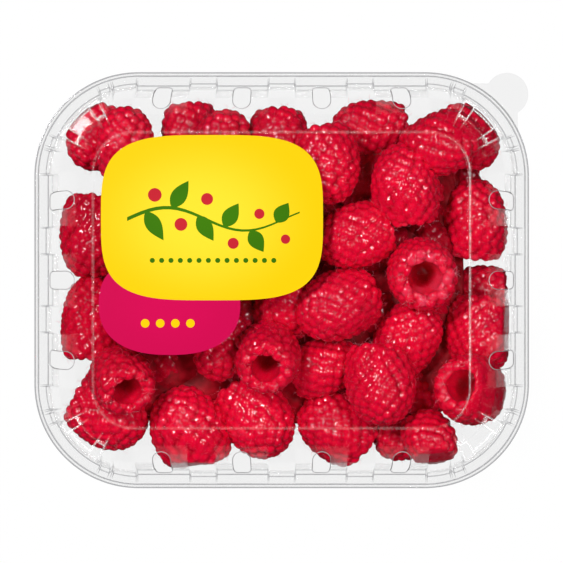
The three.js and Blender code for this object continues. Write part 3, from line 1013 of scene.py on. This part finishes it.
def berry_flesh():
    """Moist red flesh: painted shade makes it deeper red in the creases and the hollow; it is lit a little
    from within.
    """
    material, nodes = new_material("berry_flesh")
    cloud = nodes.maths("MULTIPLY", nodes.noise(90, 3), CLOUD_SHARE)
    ripe = nodes.ramp(nodes.maths("MULTIPLY_ADD", nodes.mark("tone"), TONE_SHARE, cloud), RIPENESS)
    smooth_part = nodes.maths("SUBTRACT", 1, nodes.mark("relief"))
    bright = nodes.maths("MAXIMUM", nodes.mark("crown"), smooth_part)
    # Painted shade: the creases between drupelets and the hollow are painted a deeper red.
    shade_painted = nodes.mixed(nodes.ranged(bright, *CREASE_REACH), CREASE_PAINTED_SHADE, ripe)
    # Pale pink flecks: partly the colour of a bloom of down too short to model, partly painted small
    # highlights.
    down = nodes.ranged(nodes.noise(2200, 1), *DOWN_REACH, high=DOWN_SHARE)
    nodes.surface({
        "Base Color": nodes.mixed(down, shade_painted, DOWN_AND_GLINT_PINK),
        "Roughness": 0.35,
        "Specular IOR Level": 0.05,
        "Subsurface Weight": 0.35,
        "Subsurface Radius": (1, 0.12, 0.15),
        "Subsurface Scale": 0.0006,
        "Coat Weight": 1,
        "Coat Roughness": 0.12,
        "Sheen Weight": 0.02,
        "Sheen Roughness": 0.4,
        "Sheen Tint": (1, 0.3, 0.5, 1),
        "Normal": nodes.bump(1700, 0.4, 0.00012),
    })
    return material


def berry_hair():
    """Fine rosy hair, paler where it stands thick on a rim."""
    material, nodes = new_material("berry_hair")
    thick = nodes.ranged(nodes.mark("hairs"), SKIN_HAIRS, RIM_HAIRS)
    nodes.surface({
        "Base Color": nodes.mixed(thick, nodes.ramp(nodes.noise(400), HAIR_ROSE), RIM_HAIR_ROSE),
        "Roughness": 0.5,
        "Specular IOR Level": 0.05,
    })
    return material


def painted_shade_bed():
    """Dark and a little glossy: painted shade for the gaps between the lowest berries."""
    material, nodes = new_material("painted_shade_bed")
    nodes.surface({
        "Base Color": nodes.ramp(nodes.noise(250), BED_SHADE_RED),
        "Roughness": 0.55,
        "Specular IOR Level": 0.2,
    })
    return material


BED_LENGTH = 104
BED_WIDTH = 82
BED_MIDDLE = 11
BED_DEPTH = 3
BED_LUMPS = 0.8
BED_POWER = 6
BED_CREASE = 60


def berry_bed():
    """A low lumpy dark red bed between the lowest berries, seen only in the gaps, as painted shade deep in the
    heap.
    """
    shape = bmesh.new()
    bmesh.ops.create_icosphere(shape, subdivisions=6, radius=1)
    points = []
    for vertex in shape.verts:
        x, y, z = vertex.co
        turn = math.atan2(y, x)
        along, across = math.cos(turn) / BED_LENGTH, math.sin(turn) / BED_WIDTH
        outline = 0.5 * (along**BED_POWER + across**BED_POWER) ** (-1 / BED_POWER)
        x, y = on_circle(outline * math.sin(math.hypot(x, y) * math.pi / 2), math.degrees(turn))
        lump = math.sin(x * 0.9 + 1) * math.sin(y + 2) + math.sin(x * 0.5 - y * 0.4)
        points.append((x, y, BED_MIDDLE + BED_DEPTH * z + BED_LUMPS * lump))
    faces = [[vertex.index for vertex in face.verts] for face in shape.faces]
    shape.free()
    return new_mesh("berry_bed", points, faces)


drupelets = drupelet_tree()
drupelet_values = {
    "Bulge": DRUPELET_BULGE * MM, "Reach": DRUPELET_REACH * MM, "Hair Length": HAIR_LENGTH * MM,
    "Hair Radius": HAIR_RADIUS_SHARE, "Flesh": berry_flesh(), "Hair": berry_hair(),
}
all_berries = settled_berries()
ends = [piece[1] for piece in BERRY_PIECES[1:]] + [len(BERRIES)]
for order, ((name, start, level, shade_darkening), end) in enumerate(zip(BERRY_PIECES, ends)):
    host = berry_host(name, all_berries[start:end], all_berries, level, shade_darkening)
    run_tree(host, *drupelets, {**drupelet_values, "Level": level, "Seed": HAIR_SEED + order})
    places = np.zeros(len(host.data.vertices) * 3, np.float32)
    host.data.vertices.foreach_get("co", places)
    places = kept_inside(places.reshape(-1, 3).astype(float) / MM, DRUPELET_CLEARANCE) * MM
    host.data.vertices.foreach_set("co", places.astype(np.float32).ravel())
    host.data.update()
    for spare in ("outward", "berry", "seat"):
        layer = host.data.attributes.get(spare)
        if layer:
            host.data.attributes.remove(layer)
    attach(host, "root")
    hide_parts("berry_heap")

bed = berry_bed()
shade(bed, BED_CREASE)
bed.data.materials.append(painted_shade_bed())
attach(bed, "root")
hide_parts("berry_heap")


# ------------------------------------------------------------------------------------------ sealing film
# The film is a thin clear sheet, heat sealed to the flange's underside all round after filling and cut along
# it. It is drawn tight, with faint waves where the berries lie, and a tab stands free at one corner.

FILM_MARGIN = 0.35
FILM_THICKNESS = 0.07
FILM_MIDDLE = 0.16
FILM_WAVE = 0.05
FILM_GRID = 3
FILM_CORNER_STEPS = 40
FILM_CREASE = 50
FILM_TINT = (0.95, 0.95, 0.95)
# The painted dark shade of a fold; the film carries no fold marks, so it does not show.
FILM_FOLD_PAINTED_SHADE = (0.8, 0.8, 0.8)
FILM_ROUGHNESS = 0.12

# The tab is part of a disc on the corner's diagonal, from an angle and through a sweep in degrees.
TAB_RADIUS = 6.2
TAB_EDGE = 0.1
TAB_ROOT_STEPS = 8
TAB_STEPS = 24
TAB_START, TAB_SWEEP = -60, 210


def film_outline():
    """The flange's outline with the tab's lobe at the corner of +X and +Y."""
    outline = []
    radius = FLANGE_CORNER - FILM_MARGIN
    middle = Vector((FLANGE_LENGTH / 2 - FLANGE_CORNER, FLANGE_WIDTH / 2 - FLANGE_CORNER))
    lobe = Vector((FLANGE_LENGTH / 2, FLANGE_WIDTH / 2)) - Vector((1, 1)) * (TAB_EDGE + TAB_RADIUS)
    diagonal = FILM_CORNER_STEPS // 2
    for side, way in enumerate(((1, 1), (-1, 1), (-1, -1), (1, -1))):
        for step in range(FILM_CORNER_STEPS + 1):
            if side == 0 and step == diagonal:
                for turn in range(TAB_STEPS + 1):
                    outline.append(lobe + on_circle(TAB_RADIUS, TAB_START + TAB_SWEEP * turn / TAB_STEPS))
            if side > 0 or abs(step - diagonal) > TAB_ROOT_STEPS:
                angle = 90 * (side + step / FILM_CORNER_STEPS)
                outline.append(middle * Vector(way) + on_circle(radius, angle))
    return outline


def film_sheet():
    """The film's middle surface: points on a grid inside its outline, and the faces over them."""
    edge = film_outline()
    along = int(FLANGE_LENGTH / 2 / FILM_GRID)
    across = int((FLANGE_WIDTH / 2 - FILM_GRID) / FILM_GRID)
    inner = [
        Vector((ix * FILM_GRID, iy * FILM_GRID))
        for ix in range(-along, along + 1)
        for iy in range(-across, across + 1)
    ]
    spots, _, faces, _, _, _ = delaunay_2d_cdt(edge + inner, [], [tuple(range(len(edge)))], 1, 1e-4)
    points = []
    for x, y in spots:
        wave = math.sin(x * 0.31 + 1.2) * math.sin(y * 0.27) + 0.5 * math.sin(x * 0.13 - y * 0.4)
        points.append((x, y, FILM_MIDDLE + FILM_WAVE * wave))
    return new_mesh("film", points, faces)


film = film_sheet()
solid_film = film.modifiers.new("thickness", "SOLIDIFY")
solid_film.thickness = FILM_THICKNESS * MM
solid_film.offset = 0
settle_modifiers(film)
shade(film, FILM_CREASE)
film.data.materials.append(clear_plastic("clear_film", FILM_TINT, FILM_FOLD_PAINTED_SHADE, FILM_ROUGHNESS))
film.visible_shadow = False
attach(film, "root")
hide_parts("sealing_film")


# ----------------------------------------------------------------------------------------- printed label
# The label is a satin self-adhesive sheet, die cut as a large yellow field with a smaller magenta one below
# it, and stuck on the panel. Its print is a plain leafy sprig with round fruit, and rows of dots.

LABEL_BOTTOM = DOME_SECTION[-1][1] + 0.28
LABEL_THICKNESS = 0.12
LABEL_OVERLAP = 0.02
LABEL_CREASE = 30
INK = 0.012
LABEL_FIELD = {"x": -19.4, "y": 17.4, "length": 61.8, "width": 46, "power": 3.6}
LABEL_ROUND = {"x": -31.2, "y": -6.6, "length": 39.4, "width": 28.4, "power": 2.4}

# Each print: its colour in the middle and at the edge, and the middle and half size of the field it fills.
PRINTS = {
    "magenta": ((0.67, 0, 0.085), (0.62, 0, 0.075), (-31, -7), (22, 16)),
    "yellow": ((1, 0.78, 0.03), (0.98, 0.63, 0), (-22, 17), (34, 26)),
    "green": ((0.05, 0.2, 0), (0.04, 0.17, 0), (-20, 18), (30, 12)),
    "red": ((0.6, 0.02, 0.03), (0.55, 0.015, 0.03), (-20, 18), (30, 12)),
}

STEM_START, STEM_END, STEM_LEVEL, STEM_RISE, STEM_WIDTH = -43, 5, 17, 3.2, 1.1
STEM_TURNS = 1.1
STEM_TAPER = 0.6
STEM_STEPS = 24
LEAVES = 6
LEAF_LENGTH, LEAF_WIDTH, LEAF_ANGLE, LEAF_SHRINK = 9.5, 4.4, 58, 0.6
FRUIT_RADIUS, FRUIT_SHRINK, FRUIT_ALONG, FRUIT_ASIDE = 1.9, 0.12, 2.6, 4.6

# Each row of dots: the first one's place, the pitch, the radius and how many.
GREEN_DOTS = {"x": -36, "y": 5.5, "pitch": 2.6, "radius": 0.7, "count": 14}
YELLOW_DOTS = {"x": -38, "y": -12, "pitch": 4.2, "radius": 1.2, "count": 4}


def rounded_field(x, y, length, width, power, steps=96):
    """An outline between an ellipse and a rectangle: the higher the power, the squarer it is."""
    outline = []
    for step in range(steps):
        angle = step / steps * 2 * math.pi
        c, s = math.cos(angle), math.sin(angle)
        outline.append((
            x + math.copysign(abs(c) ** (2 / power), c) * length / 2,
            y + math.copysign(abs(s) ** (2 / power), s) * width / 2,
        ))
    return outline


def print_material(colour):
    """Satin print whose colour runs from its field's middle to the edge, with a faint paper grain."""
    middle, edge, centre, reach = PRINTS[colour]
    material, nodes = new_material(colour + "_print")
    place = nodes.add("ShaderNodeMapping", {
        "Vector": nodes.add("ShaderNodeTexCoord").outputs["Object"],
        "Location": (centre[0] * MM, centre[1] * MM, LABEL_BOTTOM * MM),
        "Scale": (reach[0] * MM, reach[1] * MM, 1),
    }, vector_type="TEXTURE")
    far = nodes.add("ShaderNodeVectorMath", {0: place}, operation="LENGTH")
    nodes.surface({
        "Base Color": nodes.ramp(far, [(0.15, middle), (1, edge)], "EASE"),
        "Roughness": 0.3,
        "Specular IOR Level": 0.2,
        "Normal": nodes.bump(900, 0.1, 0.00005),
    })
    return material


def flat_print(name, outlines, level, thickness, material):
    """Flat shapes of one colour as one thin piece."""
    points, faces = [], []
    bottom = LABEL_BOTTOM + level
    for outline in outlines:
        prism(points, faces, outline, bottom, bottom + thickness)
    piece = new_mesh(name, points, faces)
    shade(piece, LABEL_CREASE)
    piece.data.materials.append(material)
    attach(piece, "root")
    return piece


def leaf(x, y, length, width, heading, steps=12):
    """A pointed leaf from its stalk at x, y."""
    turn = Matrix.Rotation(math.radians(heading), 2)
    outline = []
    for way in (1, -1):
        for step in range(steps):
            t = step / steps if way > 0 else 1 - step / steps
            belly = width / 2 * math.sin(math.pi * t ** 0.8)
            outline.append(Vector((x, y)) + turn @ Vector((length * t, -way * belly)))
    return outline


def dot(x, y, radius, steps=24):
    return [Vector((x, y)) + on_circle(radius, step / steps * 360) for step in range(steps)]


def dot_row(x, y, pitch, radius, count):
    return [dot(x + pitch * number, y, radius) for number in range(count)]


def stem_point(share):
    """A point of the sprig's waving stem."""
    wave = math.sin(2 * math.pi * STEM_TURNS * share)
    return STEM_START + (STEM_END - STEM_START) * share, STEM_LEVEL + STEM_RISE * wave


def sprig():
    """The outlines of the sprig's stem, its leaves and its fruit."""
    stem, leaves, fruits = [], [], []
    for way in (1, -1):
        for step in range(STEM_STEPS + 1):
            share = step / STEM_STEPS if way > 0 else 1 - step / STEM_STEPS
            x, y = stem_point(share)
            stem.append((x, y - way * STEM_WIDTH / 2 * (1 - STEM_TAPER * share)))
    for number in range(LEAVES):
        x, y = stem_point((number + 0.7) / (LEAVES + 0.6))
        side = 1 if number % 2 else -1
        leaves.append(leaf(x, y, LEAF_LENGTH - number * LEAF_SHRINK, LEAF_WIDTH, side * LEAF_ANGLE))
        radius = FRUIT_RADIUS - number * FRUIT_SHRINK
        fruits.append(dot(x + FRUIT_ALONG, y - side * FRUIT_ASIDE, radius))
    return stem, leaves, fruits


magenta, yellow, green, red = (print_material(colour) for colour in PRINTS)
flat_print("label_round", [rounded_field(**LABEL_ROUND)], 0, LABEL_THICKNESS, magenta)
field = [rounded_field(**LABEL_FIELD)]
main_field = flat_print("label_field", field, LABEL_OVERLAP, LABEL_THICKNESS, yellow)
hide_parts("printed_label")
stem, leaves, fruits = sprig()
top = LABEL_THICKNESS + LABEL_OVERLAP
flat_print("label_sprig", leaves, top, INK, green)
flat_print("label_stem", [stem], top + 0.5 * INK, INK, green)
flat_print("label_fruit", fruits, top, INK, red)
flat_print("label_dots", dot_row(**GREEN_DOTS), top, INK, green)
flat_print("label_spots", dot_row(**YELLOW_DOTS), LABEL_THICKNESS, INK, yellow)


# ---------------------------------------------------------------------------------- floor, light, camera
# A plain white floor inside a white backdrop, soft lamps high round the pack, and a camera straight above it.

STAGE_RADIUS = 3000
STAGE_DROP = 0.05
STAGE_STEPS = 64
PAPER_GREY = (0.02, 0.02, 0.02, 1)
PAPER_GLOW = 0.98
WORLD_GLOW = 0.02
BACKDROP_FOOT = -0.01
WHITE = (1, 1, 1, 1)

floor_edge = [(*spot, -STAGE_DROP) for spot in dot(0, 0, STAGE_RADIUS, STAGE_STEPS)]
floor = new_mesh("floor", floor_edge, [tuple(range(STAGE_STEPS))])
paper, nodes = new_material("white_paper")
nodes.surface({
    "Base Color": PAPER_GREY,
    "Emission Color": WHITE,
    "Emission Strength": PAPER_GLOW,
    "Roughness": 0.9,
    "Specular IOR Level": 0,
})
floor.data.materials.append(paper)

# The light that the floor throws back reaches the clear plastic only, and leaves the wet berries deep red.
shone_on = bpy.data.collections.new("shone_on_by_floor")
for piece in (dome, film):
    shone_on.objects.link(piece)
floor.light_linking.receiver_collection = shone_on

shell = bmesh.new()
bmesh.ops.create_uvsphere(
    shell, u_segments=STAGE_STEPS, v_segments=STAGE_STEPS // 2, radius=STAGE_RADIUS * MM
)
below = [vertex for vertex in shell.verts if vertex.co.z < BACKDROP_FOOT]
bmesh.ops.delete(shell, geom=below, context="VERTS")
bmesh.ops.reverse_faces(shell, faces=shell.faces)
backdrop_mesh = bpy.data.meshes.new("backdrop")
shell.to_mesh(backdrop_mesh)
shell.free()
backdrop = bpy.data.objects.new("backdrop", backdrop_mesh)
bpy.context.scene.collection.objects.link(backdrop)
glow, nodes = new_material("white_backdrop")
nodes.surface({
    "Base Color": (0, 0, 0, 1),
    "Specular IOR Level": 0,
    "Emission Color": WHITE,
    "Emission Strength": 1,
})
backdrop.data.materials.append(glow)
backdrop.visible_diffuse = False
backdrop.visible_glossy = False
backdrop.visible_shadow = False

world = bpy.data.worlds.new("studio")
bpy.context.scene.world = world
world.use_nodes = True
background = world.node_tree.nodes["Background"]
Nodes(world.node_tree).wire(background, {"Color": WHITE, "Strength": WORLD_GLOW})

# Each lamp: name, place, size, power, and whether it shows as a highlight.
LAMPS = [
    ("lamp_key", (-0.42, 0.3, 0.9), 0.24, 6.0, True),
    ("lamp_right", (0.5, 0.16, 0.87), 0.24, 3.2, True),
    ("lamp_left", (-0.5, -0.36, 0.85), 0.3, 1.9, False),
    ("lamp_front", (0.32, -0.5, 0.85), 0.3, 1.9, False),
]
for name, place, size, power, shiny in LAMPS:
    light = bpy.data.lights.new(name, "AREA")
    light.shape = "SQUARE"
    light.size = size
    light.energy = power
    lamp = bpy.data.objects.new(name, light)
    lamp.location = place
    lamp.visible_glossy = shiny
    lamp.rotation_euler = (-Vector(place)).to_track_quat("-Z", "Y").to_euler()
    bpy.context.scene.collection.objects.link(lamp)

# In metres: the camera's height and the width that it sees on the floor. In pixels: the picture's width, its
# middle and the pack's.
CAMERA_HEIGHT = 0.9
VIEW_WIDTH = 0.163
SENSOR_WIDTH = 36
PICTURE_WIDTH = 563
PICTURE_MIDDLE = 281.5
PACK_MIDDLE_X, PACK_MIDDLE_Y = 281.7, 280.2
camera_data = bpy.data.cameras.new("camera")
camera_data.sensor_width = SENSOR_WIDTH
camera_data.lens = SENSOR_WIDTH * CAMERA_HEIGHT / VIEW_WIDTH
camera_data.shift_x = (PICTURE_MIDDLE - PACK_MIDDLE_X) / PICTURE_WIDTH
camera_data.shift_y = -(PICTURE_MIDDLE - PACK_MIDDLE_Y) / PICTURE_WIDTH
camera = bpy.data.objects.new("camera", camera_data)
camera.location = (0, 0, CAMERA_HEIGHT)
bpy.context.scene.collection.objects.link(camera)
bpy.context.scene.camera = camera
bpy.context.scene.view_settings.view_transform = "Standard"
